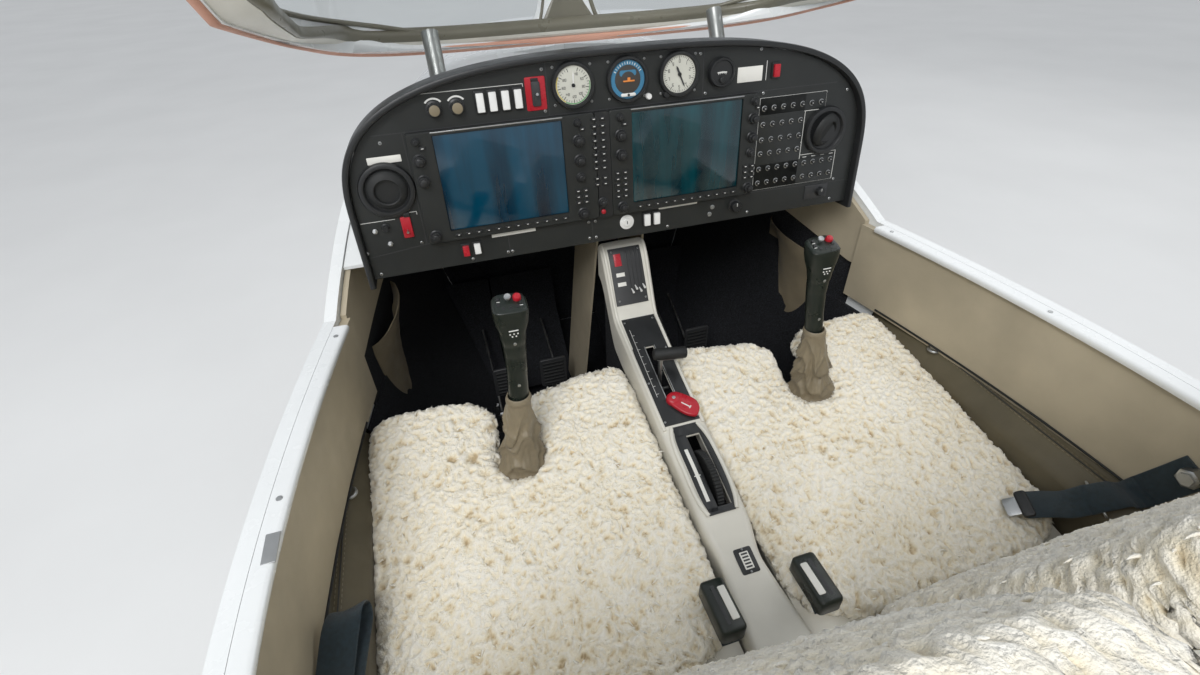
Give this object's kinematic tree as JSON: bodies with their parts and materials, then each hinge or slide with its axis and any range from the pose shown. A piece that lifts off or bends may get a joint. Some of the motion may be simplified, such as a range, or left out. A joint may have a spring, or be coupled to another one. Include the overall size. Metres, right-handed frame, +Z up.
{
  "type": "light aircraft cockpit section",
  "caption": "Front fuselage section of a low-wing tourer, firewall to seat bulkhead: instrument panel, sticks, pedals, console, fleece-covered seats and a raised forward-hinged canopy",
  "frame": {"origin": "middle of the underside of the saddle plate on the flat belly, where the wing's centre section bolts on, 0.45 m aft of the instrument panel", "axes": "+X to the right seat's side, +Y towards the nose, +Z up"},
  "size_m": [1.2814, 1.62, 2.3155],
  "materials": {
    "white_gelcoat": "gloss white, slightly dusty",
    "cream_trim": "satin painted moulding",
    "beige_trim": "matt side trim",
    "olive_leather": "grained, stitched and piped",
    "carpet": "short pile carpet",
    "panel_grey": "fine matt grey-black",
    "black_plastic": "fine grained black",
    "screen": "dark blue-green reflective screen in a black bezel",
    "bare_metal": "satin metal",
    "tan_leather": "soft folded leather",
    "fleece": "cream sheepskin pile",
    "webbing": "dark blue-green woven strap",
    "canopy_glass": "clear acrylic",
    "red_plastic": "plain red, slightly worn"
  },
  "bodies": {
    "airframe": {"left_fuselage_shell": "white_gelcoat", "right_fuselage_shell": "white_gelcoat", "saddle_plate": "bare_metal", "deck_shelf": "white_gelcoat", "left_sill": "white_gelcoat", "right_sill": "white_gelcoat", "firewall": "bare_metal", "seat_bulkhead": "cream_trim", "console": "cream_trim", "left_seat_shell": "cream_trim", "right_seat_shell": "cream_trim", "left_side_panel": "beige_trim", "right_side_panel": "beige_trim", "left_lower_panel": "beige_trim", "right_lower_panel": "beige_trim", "left_ledge": "olive_leather", "right_ledge": "olive_leather", "cabin_floor": "carpet", "spar_box": "carpet", "panel_face": "panel_grey", "breaker_panel": "panel_grey", "panel_lip": "black_plastic", "airspeed_dial": "black_plastic", "attitude_dial": "black_plastic", "altimeter": "black_plastic", "compass_dial": "black_plastic", "audio_unit": "black_plastic", "left_vent": "black_plastic", "right_vent": "black_plastic", "left_display": "screen", "right_display": "screen", "left_stick_boot": "tan_leather", "right_stick_boot": "tan_leather", "left_pedal_mount": "bare_metal", "right_pedal_mount": "bare_metal", "left_seat_fleece": "fleece", "right_seat_fleece": "fleece", "left_back_fleece": "fleece", "right_back_fleece": "fleece", "left_belt": "webbing", "right_belt": "webbing", "left_buckle": "black_plastic", "right_buckle": "black_plastic", "fuel_selector": "red_plastic"},
    "canopy": {"canopy_frame": "white_gelcoat", "left_canopy_glass": "canopy_glass", "right_canopy_glass": "canopy_glass", "left_canopy_arm": "bare_metal", "right_canopy_arm": "bare_metal"},
    "torque_tube": {"stick_torque_tube": "bare_metal"},
    "left_stick_body": {"left_stick": "black_plastic"},
    "right_stick_body": {"right_stick": "black_plastic"},
    "power_lever_body": {"power_lever": "black_plastic"},
    "trim_wheel_body": {"trim_wheel": "black_plastic"},
    "left_inner_pedal_body": {"left_inner_pedal": "black_plastic"},
    "left_outer_pedal_body": {"left_outer_pedal": "black_plastic"},
    "right_inner_pedal_body": {"right_inner_pedal": "black_plastic"},
    "right_outer_pedal_body": {"right_outer_pedal": "black_plastic"}
  },
  "joints": [
    {"name": "canopy_hinge", "type": "hinge", "parent": "airframe", "child": "canopy", "pos_m": [0, 0.9, 0.86], "axis": [1, 0, 0], "range_deg": [0, 50]},
    {"name": "stick_pitch", "type": "hinge", "parent": "airframe", "child": "torque_tube", "pos_m": [0, 0.15, 0.29], "axis": [1, 0, 0], "range_deg": [-3, 12], "deforming": ["left_stick_boot", "right_stick_boot"]},
    {"name": "left_stick_roll", "type": "hinge", "parent": "torque_tube", "child": "left_stick_body", "pos_m": [-0.306, 0.15, 0.29], "axis": [0, 1, 0], "range_deg": [-12, 12], "deforming": ["left_stick_boot"]},
    {"name": "right_stick_roll", "type": "hinge", "parent": "torque_tube", "child": "right_stick_body", "pos_m": [0.306, 0.15, 0.29], "axis": [0, 1, 0], "range_deg": [-12, 12], "deforming": ["right_stick_boot"]},
    {"name": "power_lever_pivot", "type": "hinge", "parent": "airframe", "child": "power_lever_body", "pos_m": [0, 0.27, 0.44443], "axis": [1, 0, 0], "range_deg": [-30, 30]},
    {"name": "trim_wheel_axle", "type": "hinge", "parent": "airframe", "child": "trim_wheel_body", "pos_m": [0.008, 0.065, 0.394], "axis": [1, 0, 0], "range_deg": [-360, 360]},
    {"name": "left_inner_pedal_pivot", "type": "hinge", "parent": "airframe", "child": "left_inner_pedal_body", "pos_m": [-0.145, 0.65, 0.11], "axis": [1, 0, 0], "range_deg": [-15, 15]},
    {"name": "left_outer_pedal_pivot", "type": "hinge", "parent": "airframe", "child": "left_outer_pedal_body", "pos_m": [-0.268, 0.65, 0.11], "axis": [1, 0, 0], "range_deg": [-15, 15]},
    {"name": "right_inner_pedal_pivot", "type": "hinge", "parent": "airframe", "child": "right_inner_pedal_body", "pos_m": [0.145, 0.65, 0.11], "axis": [1, 0, 0], "range_deg": [-15, 15]},
    {"name": "right_outer_pedal_pivot", "type": "hinge", "parent": "airframe", "child": "right_outer_pedal_body", "pos_m": [0.268, 0.65, 0.11], "axis": [1, 0, 0], "range_deg": [-15, 15]}
  ],
  "couplings": [
    {"joint": "right_stick_roll", "follows": "left_stick_roll", "ratio": 1},
    {"joint": "left_inner_pedal_pivot", "follows": "left_outer_pedal_pivot", "ratio": -1},
    {"joint": "right_inner_pedal_pivot", "follows": "left_outer_pedal_pivot", "ratio": 1},
    {"joint": "right_outer_pedal_pivot", "follows": "left_outer_pedal_pivot", "ratio": -1}
  ]
}
